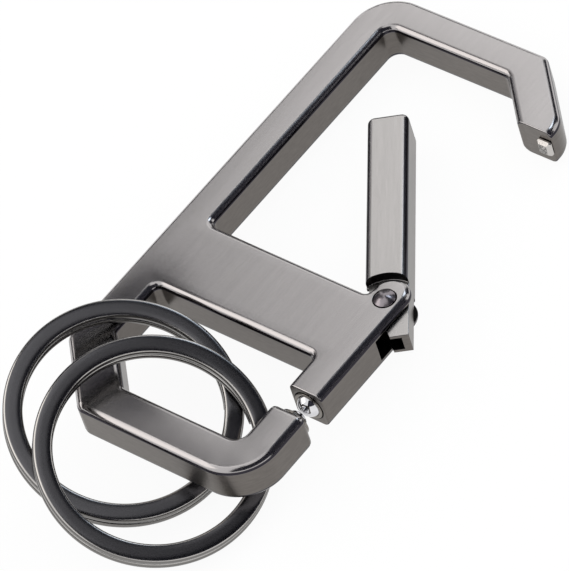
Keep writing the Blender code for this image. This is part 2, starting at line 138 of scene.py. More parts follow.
class PlateSizes(bpy.types.PropertyGroup):
    """The plate: spine, hook, web, boss and bottom bar"""
    thickness: mm("Thickness", "Front face to back face", 5.65)
    height: mm("Height", "Bottom bar to hook top", 74.6)
    width: mm("Width", "Spine to the boss", 35.95)
    spine: mm("Spine", "Width of the spine", 5.1)
    top_bar: mm("Top bar", "Width of the top bar", 5.0)
    bottom_bar: mm("Bottom bar", "Width of the bottom bar", 5.5)
    boss: mm("Boss", "Width of the boss", 5.15)
    slant: mm("Slant", "Width of the slanted stretch", 5.5)
    slant_run: mm("Slant run", "Legs of the slanted stretch", 8.55)
    nose_end: mm("Nose end", "Height of the nose's end", 63.7)
    web_low: mm("Web bottom", "Height of the web's lower side", 20.7)
    web_high: mm("Web top", "Height of the web's upper side", 31.9)
    heel: mm("Heel", "Legs of the corner under the spine", 8.7)
    heel_inner: mm("Inner heel", "Legs of the opening's corner", 6.8)
    boss_end: mm("Boss end", "Height of the boss's lower end", 15.45)
    stub_end: mm("Stub end", "Height of the stub's upper end", 12.35)
    lug_top: mm("Lug top", "Height of the lugs' round ends", 35.75)
    lug: mm("Lug", "Thickness of one lug", 1.1)
    pocket_depth: mm("Pocket depth", "Pocket floor below the rivet", 5.6)
    pocket_relief: mm("Pocket relief", "Pocket past the boss into the web", 0.9)
    edge: mm("Edge", "Rounding of the plate's edges", 0.95)
    stub_corner: mm("Stub corner", "Rounding of the stub's upright corners", 0.8)
    end_edge: mm("End edge", "Rounding of the ends of nose and boss", 0.18)
    small_edge: mm("Small edge", "Rounding of bores and pocket", 0.07)
    crown: mm("Crown", "Width of a face's bent border", 2.0)
    crown_tilt: turn("Crown tilt", "Bend of a face at its edge", 4.0)
    corner_path: mm("Corner path", "Legs of the flat middle's turn into the stub", 3.8)


class GateSizes(bpy.types.PropertyGroup):
    """The gate, modelled swung in from its closed line"""
    swing: turn("Swing", "How far the modelled gate is swung in", 37.0)
    reach: mm("Length", "Rivet axis to the gate's tip", 31.3)
    inner: mm("Inner side", "Inner side from the gate's axis line", 2.6)
    outer: mm("Outer side", "Outer side from the gate's axis line", 2.8)
    tip: mm("Tip corner", "Rounding of the tip's corners", 1.0)
    shoulder: mm("Shoulder", "Radius of the hollow round the lugs", 4.2)
    side_gap: mm("Side gap", "Gate tail to lug", 0.2)
    tail: mm("Tail", "Tail past the rivet axis", 5.3)
    tail_inner: mm("Tail's inner side", "From the gate's axis line", 2.3)
    tail_wall: mm("Tail wall", "Front and back walls of the tail", 0.5)
    tail_outer_wall: mm("Tail's outer wall", "Wall on the outer side", 1.0)
    channel: mm("Channel", "Hollow above the rivet", 6.0)
    scoop: mm("Scoop", "Radius of the tail's scooped corner", 3.5)
    scoop_in: mm("Scoop inset", "Scoop centre past the inner side", 0.4)
    scoop_down: mm("Scoop drop", "Scoop centre past the tail's end", 1.0)
    edge: mm("Edge", "Rounding of the gate's long edges", 0.85)
    hollow_shade: mm("Hollow shade", "Where the shoulder hollow turns dark", 0.8)
    slot_depth: mm("Slot depth", "Depth of the stud's slot in the tip", 1.0)
    slot_gap: mm("Slot gap", "Room round the stud in its slot", 0.35)


class SmallPartSizes(bpy.types.PropertyGroup):
    """Rivet, stud, balls, sleeves and springs"""
    rivet: mm("Rivet", "Radius of the rivet", 1.0)
    rivet_head: mm("Rivet head", "Radius of the rivet's heads", 1.42)
    rivet_rise: mm("Head height", "Height of a rivet head", 0.7)
    rivet_edge: mm("Head edge", "Height of a head's upright edge", 0.14)
    recess: mm("Recess", "Depth of the hollow round a head", 0.22)
    recess_gap: mm("Recess gap", "Room round a rivet head", 0.14)
    bore_gap: mm("Bore gap", "Room round a piece in its bore", 0.1)
    stud_chamfer: mm("Stud chamfer", "Facets round the stud's head", 0.45)
    stud_head: mm("Stud head", "Height of the stud's head", 0.7)
    stud_shank: mm("Stud shank", "Radius of the stud's shank", 0.8)
    ball: mm("Ball", "Radius of a ball", 1.7)
    ball_set_back: mm("Ball set back", "Ball centre behind its sleeve's rim", 0.55)
    sleeve: mm("Sleeve", "Outer radius of a sleeve", 2.1)
    sleeve_wall: mm("Sleeve wall", "Wall of a sleeve", 0.3)
    wire: mm("Spring wire", "Thickness of the springs' wire", 0.3)
    gate_coil: mm("Gate spring", "Radius of the gate's spring", 1.35)
    gate_pitch: mm("Gate spring pitch", "Climb in one turn", 0.72)
    ball_coil: mm("Ball spring", "Radius of a ball's spring", 1.1)
    ball_coil_run: mm("Ball spring length", "Length of a ball's spring", 3.6)
    ball_coil_turns: IntProperty(name="Ball spring turns", description="Turns of a ball's spring",
                                 default=4, min=1)


class RingSizes(bpy.types.PropertyGroup):
    """The two split key rings"""
    outer: mm("Outer radius", "Outer radius of a ring", 15.0)
    wire: mm("Wire width", "Width of the flat wire", 2.5)
    layer: mm("Layer", "Thickness of one layer of wire", 1.14)
    stack: mm("Stack", "Both layers together", 2.5)
    edge: mm("Edge", "Rounding of the flat wire", 0.32)
    dome: mm("Crown", "How far the wire's flat sides bulge", 0.16)
    ramp: turn("Ramp", "Where the wire changes layer", 30.0)
    end_gap: turn("End gap", "Open stretch beside each wire end", 8.0)
    back_place: spot("Back ring", "Its centre from the plate's lower corner", 12.8, 3.5, 3.0)
    back_tilt: turn("Back tilt", "Tilt of the back ring across the plate", 23.4)
    back_lean: turn("Back lean", "Lean of the back ring along the plate", 4.6)
    back_turn: turn("Back turn", "Where the back ring's wire begins", 42.0)
    front_place: spot("Front ring", "Its centre from the plate's lower corner", 20.0, 0.65, 2.7)
    front_tilt: turn("Front tilt", "Tilt of the front ring across the plate", 25.8)
    front_lean: turn("Front lean", "Lean of the front ring along the plate", 5.5)
    front_turn: turn("Front turn", "Where the front ring's wire begins", 57.0)


class FinishColours(bpy.types.PropertyGroup):
    """Colours of the metals"""
    satin: colour("Satin face", "Brushed faces of the plate", (0.57, 0.545, 0.54))
    satin_dark: colour("Satin shade", "Darker strokes in the brushed faces", (0.52, 0.497, 0.493))
    gate: colour("Gate face", "Brushed face of the gate", (0.66, 0.635, 0.62))
    # Side: painted shade, the sides painted dark in place of the dark reflections they show
    wall: colour("Side", "Sides of plate and gate", (0.175, 0.16, 0.148))
    rounding: colour("Rounding", "Polished rounding by a face", (0.44, 0.42, 0.42))
    # Edge line: a painted reflection, the dark band that a polished rounding would mirror
    line: colour("Edge line", "Dark line along the rounding", (0.035, 0.032, 0.04))
    # Cavity: painted shade for bores, pocket and hollows
    cavity: colour("Cavity", "Bores and hollows", (0.022, 0.02, 0.02))
    sleeve: colour("Sleeve", "Turned sleeves round the balls", (0.26, 0.24, 0.22))
    gunmetal: colour("Gunmetal", "Flat faces of the key rings", (0.13, 0.128, 0.136))
    # Gunmetal rim: part worn plating, part a painted highlight in place of the rims' bright
    # reflections
    gunmetal_rim: colour("Gunmetal rim", "Worn edges of the key rings", (0.55, 0.53, 0.51))
    rivet: colour("Rivet", "Dark polished rivet", (0.33, 0.30, 0.32))
    bright: colour("Bright steel", "Facets of the stud", (0.55, 0.53, 0.51))
    ball: colour("Ball", "Mirror balls", (0.74, 0.74, 0.76))
    spring: colour("Spring", "Drawn wire", (0.42, 0.42, 0.44))


class StageSizes(bpy.types.PropertyGroup):
    """Camera, floor and lamps"""
    focal: amount("Focal length", "Camera lens in millimetres", 388.68)
    sky: amount("Sky", "Strength of the pale surroundings", 1.0)
    floor_lift: amount("Floor lift", "Share of the floor that glows white", 0.93,
                       max=1.0, subtype="FACTOR")
    mirrored_lift: amount("Mirrored lift", "The same, as the metal mirrors it", 0.7,
                          max=1.0, subtype="FACTOR")
    lamp: amount("Lamp", "Power of the soft lamp in watts", 0.6)


GROUPS = {"plate_sizes": PlateSizes, "gate_sizes": GateSizes, "small_sizes": SmallPartSizes,
          "ring_sizes": RingSizes, "finish_colours": FinishColours, "stage_sizes": StageSizes}


class Value:
    """A socket of a finish that Python's own signs work on."""

    def __init__(self, finish, socket):
        self.finish = finish
        self.socket = socket

    def maths(self, operation, *others):
        return self.finish.node("ShaderNodeMath", {"operation": operation},
                                dict(enumerate((self, *others))))

    def __add__(self, other):
        return self.maths("ADD", other)

    def __mul__(self, other):
        return self.maths("MULTIPLY", other)

    def __sub__(self, other):
        return self.maths("SUBTRACT", other)

    def __rsub__(self, other):
        return (self * -1.0) + other

    __radd__ = __add__
    __rmul__ = __mul__

    def vector(self, operation, *others, out=0):
        return self.finish.node("ShaderNodeVectorMath", {"operation": operation},
                                dict(enumerate((self, *others))), out)

    def between(self, low, high):
        """0 at low and below, 1 at high and above, smooth between them."""
        settings = {"interpolation_type": "SMOOTHSTEP"}
        return self.finish.node("ShaderNodeMapRange", settings, {0: self, 1: low, 2: high})


class Finish:
    """A material, metal unless told otherwise, with its nodes."""

    def __init__(self, name, metallic=1.0):
        self.material = bpy.data.materials.new(name)
        self.material.use_nodes = True
        self.tree = self.material.node_tree
        self.shader = self.tree.nodes["Principled BSDF"]
        self.shader.inputs["Metallic"].default_value = metallic

    def node(self, kind, settings, inputs, out=0):
        """Adds a node: its settings first, then the values or links of its sockets."""
        made = self.tree.nodes.new(kind)
        for key, setting in settings.items():
            setattr(made, key, setting)
        for key, value in inputs.items():
            self.feed(made.inputs[key], value)
        return Value(self, made.outputs[out])

    def feed(self, socket, value):
        if isinstance(value, Value):
            self.tree.links.new(value.socket, socket)
        else:
            socket.default_value = value

    def place(self, scale=(1.0, 1.0, 1.0), turned=(0.0, 0.0, 0.0), centre=(0.0, 0.0, 0.0)):
        """Object coordinates about a centre, turned into a piece's own lines, then scaled."""
        place = self.node("ShaderNodeTexCoord", {}, {}, "Object")
        place = self.node("ShaderNodeMapping", {"vector_type": "POINT"},
                          {"Vector": place, "Location": [-value for value in centre]})
        place = self.node("ShaderNodeMapping", {"vector_type": "TEXTURE"},
                          {"Vector": place, "Rotation": turned})
        return self.node("ShaderNodeMapping", {"vector_type": "POINT"},
                         {"Vector": place, "Scale": scale})

    def parts_of(self, vector):
        made = self.node("ShaderNodeSeparateXYZ", {}, {0: vector}).socket.node
        return [Value(self, socket) for socket in made.outputs]

    def normal(self):
        return self.node("ShaderNodeTexCoord", {}, {}, "Normal")

    def noise(self, vector, detail=2.0, roughness=0.55):
        return self.node("ShaderNodeTexNoise", {"noise_dimensions": "3D"}, {
            "Vector": vector, "Scale": 1.0, "Detail": detail, "Roughness": roughness})

    def grain(self, scale, detail=3.0, roughness=0.55):
        """Noise that is the same in all directions."""
        return self.noise(self.place((scale, scale, scale)), detail, roughness)

    def mix(self, factor, first, second):
        """The first colour at 0, the second at 1."""
        first, second = ((*item, 1.0) if isinstance(item, tuple) else item
                         for item in (first, second))
        return self.node("ShaderNodeMix", {"data_type": "RGBA"},
                         {0: factor, 6: first, 7: second}, 2)

    def tones(self, marks, name, share, low=0.3, high=0.7):
        """A colour of the panel, only a share of it where the marks are low."""
        return self.mix(marks.between(low, high), shade(name, share), shade(name))

    def surface(self, base, roughness, height=None):
        """Sets colour and roughness, and tilts the surface by a height in metres."""
        self.feed(self.shader.inputs["Base Color"], base)
        self.feed(self.shader.inputs["Roughness"], roughness)
        if height:
            bump = self.node("ShaderNodeBump", {}, {
                "Height": height, "Strength": 1.0, "Distance": 1.0}, "Normal")
            self.feed(self.shader.inputs["Normal"], bump)
        return self.material


def shade(name, share=1.0):
    """One of the panel's colours, or a share of it, as a plain tuple."""
    return tuple(share * part for part in getattr(bpy.context.scene.finish_colours, name))


def past_cores(finish, cores):
    """How far a point lies outside the nearest core, a box of (x, y, half x, half y, turn)."""
    nearest = None
    for x, y, half_x, half_y, turned in cores:
        place = finish.place(turned=(0.0, 0.0, turned), centre=(x, y, 0.0))
        outside = place.vector("ABSOLUTE").vector("SUBTRACT", (half_x, half_y, 0.0))
        outside = outside.vector("MAXIMUM", (0.0, 0.0, 0.0)).vector("MULTIPLY", (1.0, 1.0, 0.0))
        away = outside.vector("LENGTH", out="Value")
        nearest = nearest.maths("SMOOTH_MIN", away, CORE_BLEND) if nearest else away
    return nearest.maths("MAXIMUM", 0.0)


def plate_finish(name, face, face_dark, turned=0.0, painted_line_top=0.44, cores=(), crown=1.0, tilt=0.0):
    """Satin faces stroked lengthwise, polished roundings with a painted dark reflection line, and
    sides painted darker as shade.
    """
    finish = Finish(name)
    upright = finish.parts_of(finish.normal())[2].maths("ABSOLUTE")
    fine, broad, cloud = (
        finish.noise(finish.place((across, along, across), (0.0, 0.0, turned)), *look)
        for across, along, *look in ((9000.0, 260.0, 3.0, 0.6), (1500.0, 70.0), (160.0, 60.0)))
    stroke = fine * 0.5 + broad * 0.3 + cloud * 0.2
    satin = finish.mix(stroke.between(0.3, 0.7), face_dark, face)
    on_face = upright.between(0.92, 0.995)
    on_side = 1.0 - upright.between(0.05, 0.14)
    # A painted dark reflection line across the rounding, up to painted_line_top
    on_painted_line = upright.between(0.06, 0.14) * (1.0 - upright.between(painted_line_top, painted_line_top + 0.1))
    # Sides painted darker as shade, in place of their dark reflections, with a faint grain
    side_grain = finish.noise(finish.place((700.0, 700.0, 4200.0)), 3.0)
    side = finish.tones(side_grain, "wall", 0.84, 0.25, 0.75)
    edge = finish.mix(on_painted_line, finish.mix(on_side, shade("rounding"), side), shade("line"))
    height = (fine * 0.7 + broad * 0.3) * on_face * (0.0004 * MM)
    if cores:
        away = past_cores(finish, cores).maths("MINIMUM", crown)
        height = height - away * away * (tan(tilt) / (2 * crown))
    return finish.surface(finish.mix(on_face, edge, satin),
                          on_face * (stroke * 0.06 + 0.06) + on_side * 0.12 + 0.17, height)


def cavity_shade_finish(name):
    """Bores and hollows: painted darker as the shade in them, duller, with the cutter's fine
    marks.
    """
    finish = Finish(name)
    marks = finish.grain(5200.0)
    return finish.surface(finish.tones(marks, "cavity", 0.7), marks * 0.15 + 0.38,
                          marks * (0.0025 * MM))


def turned_finish(name, tone, roughness, centre, axis_turn=(0.0, 0.0, 0.0)):
    """Lathe-turned metal: fine rings about the piece's own axis."""
    finish = Finish(name)
    x, y, z = finish.parts_of(finish.place(turned=axis_turn, centre=centre))
    rings = finish.node("ShaderNodeCombineXYZ", {}, {
        0: (x * x + y * y).maths("SQRT") * 14000.0, 1: z * 14000.0})
    fine = finish.noise(rings)
    smear = finish.grain(900.0)
    return finish.surface(finish.tones(fine * 0.6 + smear * 0.4, tone, 0.78),
                          fine * 0.10 + (roughness - 0.04), fine * (0.002 * MM))


def facet_finish(name):
    """Cut and polished stud: bright facets round a lightly scratched end that is painted darker as
    shade.
    """
    finish = Finish(name)
    # The end facing down the plate is painted darker, a painted shade mottled by the marks
    end = (finish.parts_of(finish.normal())[1] * -1.0).between(0.93, 0.98)
    marks = finish.grain(2600.0, roughness=0.7)
    wear_and_painted_light = finish.mix(marks.between(0.42, 0.58), shade("bright", 0.25), shade("bright", 0.8))
    return finish.surface(finish.mix(end, shade("bright"), wear_and_painted_light), marks * 0.12 + 0.10,
                          marks * (0.02 * MM))


def mirror_finish(name):
    """Polished ball: near mirror, with faint handling marks."""
    finish = Finish(name)
    marks = finish.grain(1800.0, 4.0, 0.7)
    tone = finish.mix(marks.between(0.35, 0.7), shade("ball"), shade("ball", 0.93))
    return finish.surface(tone, marks * 0.06 + 0.02, marks * (0.0003 * MM))


def wire_finish(name):
    """Drawn spring wire: fine scratches and a slight unevenness."""
    finish = Finish(name)
    grain = finish.grain(5200.0)
    return finish.surface(finish.tones(grain, "spring", 0.8), grain * 0.14 + 0.20,
                          grain * (0.0012 * MM))


def ring_finish(name, centre, tilt, lean):
    """Dark gunmetal, stroked round the ring; rims and walls lighter, part wear and part painted
    highlight; underside painted dark as shade.
    """
    finish = Finish(name)
    turned = Matrix.Rotation(tilt, 3, "Y") @ Matrix.Rotation(lean, 3, "X")
    x, y, z = finish.parts_of(finish.place(turned=tuple(turned.to_euler()), centre=centre))
    lines = finish.node("ShaderNodeCombineXYZ", {}, {
        0: (x * x + y * y).maths("SQRT") * 9000.0, 1: y.maths("ARCTAN2", x) * 9.0, 2: z * 9000.0})
    fine = finish.noise(lines, 3.0, 0.6)
    cloud = finish.grain(260.0)
    axis = tuple(turned @ Vector((0.0, 0.0, 1.0)))
    upright = finish.normal().vector("DOT_PRODUCT", axis, out="Value")
    flat = upright.maths("ABSOLUTE")
    # Rims painted bright and walls a little lighter: part wear, part painted highlight
    rim = 1.0 - flat.between(0.93, 0.99)
    wall = 1.0 - flat.between(0.62, 0.84)
    face = finish.tones(fine * 0.4 + cloud * 0.6, "gunmetal", 0.88)
    wear_and_painted_light = finish.mix(rim, face, shade("gunmetal_rim"))
    wear_and_painted_light = finish.mix(wall, wear_and_painted_light, shade("gunmetal_rim", 0.36))
    # Painted shade: the wire's downward side is painted dark
    underside_shade = upright.between(-0.2, -0.7)
    return finish.surface(finish.mix(underside_shade, wear_and_painted_light, shade("gunmetal", 0.2)),
                          fine * 0.05 + 0.22 - rim * 0.04, fine * (0.0005 * MM))


def matte(name, tone, roughness):
    """A dull finish for the stage, without a sheen."""
    finish = Finish(name, metallic=0.0)
    finish.surface((*tone, 1.0), roughness)
    finish.feed(finish.shader.inputs["Specular IOR Level"], 0.0)
    return finish


def placed(name, data):
    """A new object in the scene."""
    item = bpy.data.objects.new(name, data)
    bpy.context.scene.collection.objects.link(item)
    return item


def piece_from(shape, name, material=None, smooth=True):
    """Turns a finished shape into an object in the scene."""
    bmesh.ops.recalc_face_normals(shape, faces=shape.faces)
    mesh = bpy.data.meshes.new(name)
    shape.to_mesh(mesh)
    shape.free()
    if smooth:
        mesh.shade_smooth()
    else:
        mesh.shade_flat()
    if material:
        mesh.materials.append(material)
    return placed(name, mesh)


def even_normals(piece):
    """Flat faces stay flat and roundings stay smooth."""
    even = piece.modifiers.new("even_normals", "WEIGHTED_NORMAL")
    even.mode = "FACE_AREA"
    even.weight = 80
    even.keep_sharp = True


def settle(piece, node, body):
    """Stands for a CAD node and moves with its body."""
    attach(piece, body)
    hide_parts(node)


def extrude(shape, face, shift):
    """Extrudes a face by a shift."""
    made = bmesh.ops.extrude_face_region(shape, geom=[face])
    bmesh.ops.translate(shape, vec=shift, verts=[
        item for item in made["geom"] if isinstance(item, bmesh.types.BMVert)])


def bevel(shape, edges, offset, segments, clamp):
    """Rounds edges of a shape, or cuts them flat with one segment."""
    bmesh.ops.bevel(shape, geom=edges, offset=offset, offset_type="OFFSET", affect="EDGES",
                    segments=segments, profile=0.5, material=-1, clamp_overlap=clamp)


def plate(corners, low, high):
    """A flat outline of (x, y, radius) corners made solid, its corners rounded."""
    shape = bmesh.new()
    outline = [shape.verts.new((x, y, low)) for x, y, radius in corners]
    extrude(shape, shape.faces.new(outline), (0.0, 0.0, high - low))
    bmesh.ops.recalc_face_normals(shape, faces=shape.faces)
    for index, (x, y, radius) in enumerate(corners):
        if not radius:
            continue
        here = Vector((x, y))
        back = Vector(corners[index - 1][:2]) - here
        ahead = Vector(corners[(index + 1) % len(corners)][:2]) - here
        angle = back.angle(ahead)
        upright = [edge for edge in shape.edges
                   if all((vert.co.xy - here).length < TOUCH for vert in edge.verts)]
        bevel(shape, upright, radius / tan(angle / 2), max(2, round((pi - angle) / ARC_STEP)),
              clamp=False)
    bmesh.ops.remove_doubles(shape, verts=shape.verts, dist=2 * TOUCH)
    return shape


def tongue(left, right, low, high, radius=0.0):
    """The corners of a rectangle with its upper two rounded."""
    return [(left, low, 0.0), (left, high, radius), (right, high, radius), (right, low, 0.0)]


def block(low, high):
    shape = bmesh.new()
    bmesh.ops.create_cube(shape, size=1.0)
    bmesh.ops.scale(shape, verts=shape.verts, vec=Vector(high) - Vector(low))
    bmesh.ops.translate(shape, verts=shape.verts, vec=(Vector(high) + Vector(low)) / 2)
    return shape


def bar(radius, start, end, sides=96):
    """A round bar between two points."""
    start, end = Vector(start), Vector(end)
    shape = bmesh.new()
    bmesh.ops.create_cone(shape, cap_ends=True, segments=sides, radius1=radius, radius2=radius,
                          depth=(end - start).length)
    aim = (end - start).to_track_quat("Z", "Y").to_matrix().to_4x4()
    bmesh.ops.transform(shape, verts=shape.verts,
                        matrix=Matrix.Translation((start + end) / 2) @ aim)
    return shape


def add_bevel(piece, name, width, segments, angle=None):
    """Rounds the weighted edges of a piece, or all that are sharper than an angle."""
    rounding = piece.modifiers.new(name, "BEVEL")
    rounding.limit_method = "ANGLE" if angle else "WEIGHT"
    rounding.width = width
    rounding.segments = segments
    rounding.profile = 0.5
    rounding.use_clamp_overlap = bool(angle)
    if angle:
        rounding.angle_limit = angle


def combine(piece, tools, operation, materials="INDEX"):
    """Cuts the tools from a piece or joins them to it, and keeps what comes out."""
    for tool in tools:
        step = piece.modifiers.new(tool.name, "BOOLEAN")
        step.operation = operation
        step.solver = "EXACT"
        step.material_mode = materials
        step.object = tool
    depsgraph = bpy.context.evaluated_depsgraph_get()
    result = bpy.data.meshes.new_from_object(piece.evaluated_get(depsgraph))
    piece.modifiers.clear()
    piece.data = result
    for tool in tools:
        bpy.data.objects.remove(tool, do_unlink=True)


def carve(shape, widest, radius_of, tools, name, material, cavity):
    """The shape, its edges rounded by a rule, less its tools; bores and hollows are painted darker
    as shade.
    """
    bmesh.ops.recalc_face_normals(shape, faces=shape.faces)
    weight = shape.edges.layers.float.new("bevel_weight_edge")
    for edge in shape.edges:
        edge[weight] = radius_of(edge) / widest
    piece = piece_from(shape, name, material)
    add_bevel(piece, "rounding", widest, 7)
    combine(piece, [piece_from(tool, f"{name}_tool_{index}", cavity if dark else material)
                    for index, (tool, dark) in enumerate(tools)], "DIFFERENCE", "TRANSFER")
    return piece


def soften(piece, width, share_of):
    """Takes the keenness off every edge that is still sharp, by a share of the width."""
    shape = bmesh.new()
    shape.from_mesh(piece.data)
    bmesh.ops.remove_doubles(shape, verts=shape.verts, dist=TOUCH)
    bmesh.ops.dissolve_limit(shape, angle_limit=NEARLY_FLAT, verts=shape.verts,
                             edges=shape.edges, delimit={"NORMAL"})
    weight = shape.edges.layers.float["bevel_weight_edge"]
    shares = {edge: share_of(edge) for edge in shape.edges
              if len(edge.link_faces) == 2 and edge.calc_face_angle(0.0) > SHARP}
    for edge in shape.edges:
        share = shares.get(edge, 0.0)
        short = min(near.calc_length() for vert in edge.verts for near in vert.link_edges)
        edge[weight] = share if short > LEAST_ROOM * width * share else 0.0
    shape.to_mesh(piece.data)
    shape.free()
    add_bevel(piece, "softening", width, 3)
    even_normals(piece)


def spun(profile, name, material, closed=False):
    """A profile of (radius, height) points turned about Z."""
    shape = bmesh.new()
    verts = [shape.verts.new((radius, 0.0, height)) for radius, height in profile]
    pairs = list(zip(verts, verts[1:])) + ([(verts[-1], verts[0])] if closed else [])
    edges = [shape.edges.new(pair) for pair in pairs]
    bmesh.ops.spin(shape, geom=verts + edges, cent=(0.0, 0.0, 0.0), axis=(0.0, 0.0, 1.0),
                   angle=tau, steps=96, use_merge=True, use_duplicate=False)
    bmesh.ops.remove_doubles(shape, verts=shape.verts, dist=TOUCH / 2)
    return piece_from(shape, name, material)


def arc_points(centre_x, centre_y, radius, first, last, steps):
    return [(centre_x + radius * cos(radians(first + (last - first) * step / steps)),
             centre_y + radius * sin(radians(first + (last - first) * step / steps)))
            for step in range(steps + 1)]


def wound(section, step_turn, climbs):
    """A closed section swept about Z, climbing as told, with its first and its last face."""
    shape = bmesh.new()
    first = face = shape.faces.new([shape.verts.new(point) for point in section])
    for climb in climbs:
        made = bmesh.ops.spin(shape, geom=[face], axis=(0.0, 0.0, 1.0), angle=step_turn, steps=1,
                              dvec=(0.0, 0.0, climb))
        if face is not first:
            bmesh.ops.delete(shape, geom=[face], context="FACES_ONLY")
        face = next(item for item in made["geom_last"] if isinstance(item, bmesh.types.BMFace))
    return shape, first, face


def coil(radius, wire, sides, steps, turns, rise):
    """Round wire wound about Z, with its first and its last face."""
    section = [(radius + x, 0.0, z) for x, z in arc_points(0.0, 0.0, wire / 2, 0.0, 360.0, sides)]
    return wound(section[:-1], tau / steps, [rise / (turns * steps)] * (turns * steps))


def move(piece, place, *turns, sharp=None):
    """Turns a piece's mesh, last turn first, moves it, and keeps edges sharp over an angle."""
    matrix = Matrix.Translation(place)
    for axis, angle in turns:
        matrix @= Matrix.Rotation(angle, 4, axis)
    piece.data.transform(matrix)
    piece.data.update()
    if sharp:
        piece.data.set_sharp_from_angle(angle=radians(sharp))


def direction(around, up):
    """The way that points so many degrees round Z and above the floor."""
    around, up = radians(around), radians(up)
    return Vector((cos(around) * cos(up), sin(around) * cos(up), sin(up)))


def plate_corners(size):
    """The outline from the heel up and over the hook, as (x, y, radius)."""
    inner = size.width - size.boss
    slant_x = size.width - size.slant_run
    inside = slant_x + size.height - size.slant * sqrt(2)
    under_bar = size.height - size.top_bar
    round_lug = size.boss / 2 - TOUCH / 2
    return [
        (0.0, size.heel, HEEL_ROUND),
        (0.0, size.height, HOOK_ROUND),
        (slant_x, size.height, SLANT_ROUND),
        (size.width, size.height - size.slant_run, NOSE_ROUND),
        (size.width, size.nose_end, 0.0),
        (inside - size.nose_end, size.nose_end, 0.0),
        (inside - under_bar, under_bar, SLANT_ROUND),
        (size.spine, under_bar, OPENING_ROUND),
        (size.spine, size.web_high, WEB_ROUND),
        (inner, size.web_high, LUG_ROUND),
        (inner, size.lug_top, round_lug),
        (size.width, size.lug_top, round_lug),
        (size.width, size.boss_end, 0.0),
        (inner, size.boss_end, 0.0),
        (inner, size.web_low, WEB_ROUND),
        (size.spine, size.web_low, WEB_ROUND),
        (size.spine, size.bottom_bar + size.heel_inner, RING_SIDE_ROUND),
        (size.spine + size.heel_inner, size.bottom_bar, RING_SIDE_ROUND),
        (inner, size.bottom_bar, OPENING_ROUND),
        (inner, size.stub_end, 0.0),
        (size.width, size.stub_end, 0.0),
        (size.width, 0.0, STUB_ROUND),
        (size.heel, 0.0, HEEL_ROUND),
    ]


def plate_tools(size, small):
    """What cuts the pocket, the bores and the recesses, all with walls painted dark as shade."""
    thick = size.thickness
    rivet = pivot - corner
    head = small.rivet_head + small.recess_gap
    tools = [block((size.width - size.boss - size.pocket_relief,
                    rivet.y - size.pocket_depth, size.lug),
                   (size.width + size.lug, size.lug_top + size.lug, thick - size.lug))]
    for radius, low, high in ((small.rivet + small.bore_gap, -thick, thick * 2),
                              (head, thick - small.recess, thick * 2),
                              (head, -thick, small.recess)):
        tools.append(bar(radius, (rivet.x, rivet.y, low), (rivet.x, rivet.y, high)))
    x = size.width - size.boss / 2
    for end, way in ((size.boss_end, 1.0), (size.stub_end, -1.0)):
        for radius, depth in ((small.sleeve + small.bore_gap, SLEEVE_BORE),
                              (small.ball_coil + small.wire, SPRING_BORE)):
            tools.append(bar(radius, (x, end - way * CUTTER_PAST, thick / 2),
                             (x, end + way * depth, thick / 2)))
    low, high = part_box("catch_stud")
    stud = (low + high) / 2 - corner
    tools.append(bar(small.stud_shank + small.bore_gap,
                     (stud.x, size.nose_end - small.stud_head, stud.z),
                     (stud.x, size.nose_end + STUD_BORE, stud.z), 48))
    return [(tool, True) for tool in tools]


def plate_cores(size):
    """The flat middles of the plate's members, as boxes for its crowned faces."""
    half_spine = size.spine / 2
    half_bar = size.bottom_bar / 2
    boss_x = size.width - size.boss / 2
    heel = (size.heel + size.spine + size.bottom_bar + size.heel_inner) / 4
    inside = size.width - size.slant_run + size.height - size.slant / sqrt(2)
    top_y = size.height - size.top_bar / 2
    turn_in = size.corner_path
    spans = [(half_spine, heel * 2 - half_spine, half_spine, top_y - half_spine),
             (size.spine, top_y, inside - top_y, top_y),
             (heel * 2 - half_bar, half_bar, boss_x - turn_in, half_bar),
             (boss_x, half_bar + turn_in, boss_x, size.stub_end - size.crown),
             (boss_x, size.boss_end, boss_x, size.lug_top - size.boss / 2),
             (half_spine, size.web_low + size.crown, boss_x, size.web_high - size.crown)]
    cores = [((x0 + x1) / 2 + corner.x, (y0 + y1) / 2 + corner.y,
              (x1 - x0) / 2, (y1 - y0) / 2, 0.0) for x0, y0, x1, y1 in spans]
    for x0, y0, x1, y1 in (
            (half_spine, heel * 2 - half_spine, heel * 2 - half_bar, half_bar),
            (boss_x - turn_in, half_bar, boss_x - 0.3 * turn_in, half_bar + 0.3 * turn_in),
            (boss_x - 0.3 * turn_in, half_bar + 0.3 * turn_in, boss_x, half_bar + turn_in),
            (half_spine, top_y - half_spine, size.spine, top_y),
            (inside - top_y, top_y, inside - size.nose_end, size.nose_end)):
        run = hypot(x1 - x0, y1 - y0)
        cores.append(((x0 + x1) / 2 + corner.x, (y0 + y1) / 2 + corner.y, run / 2, 0.0,
                      atan2(y1 - y0, x1 - x0)))
    return cores


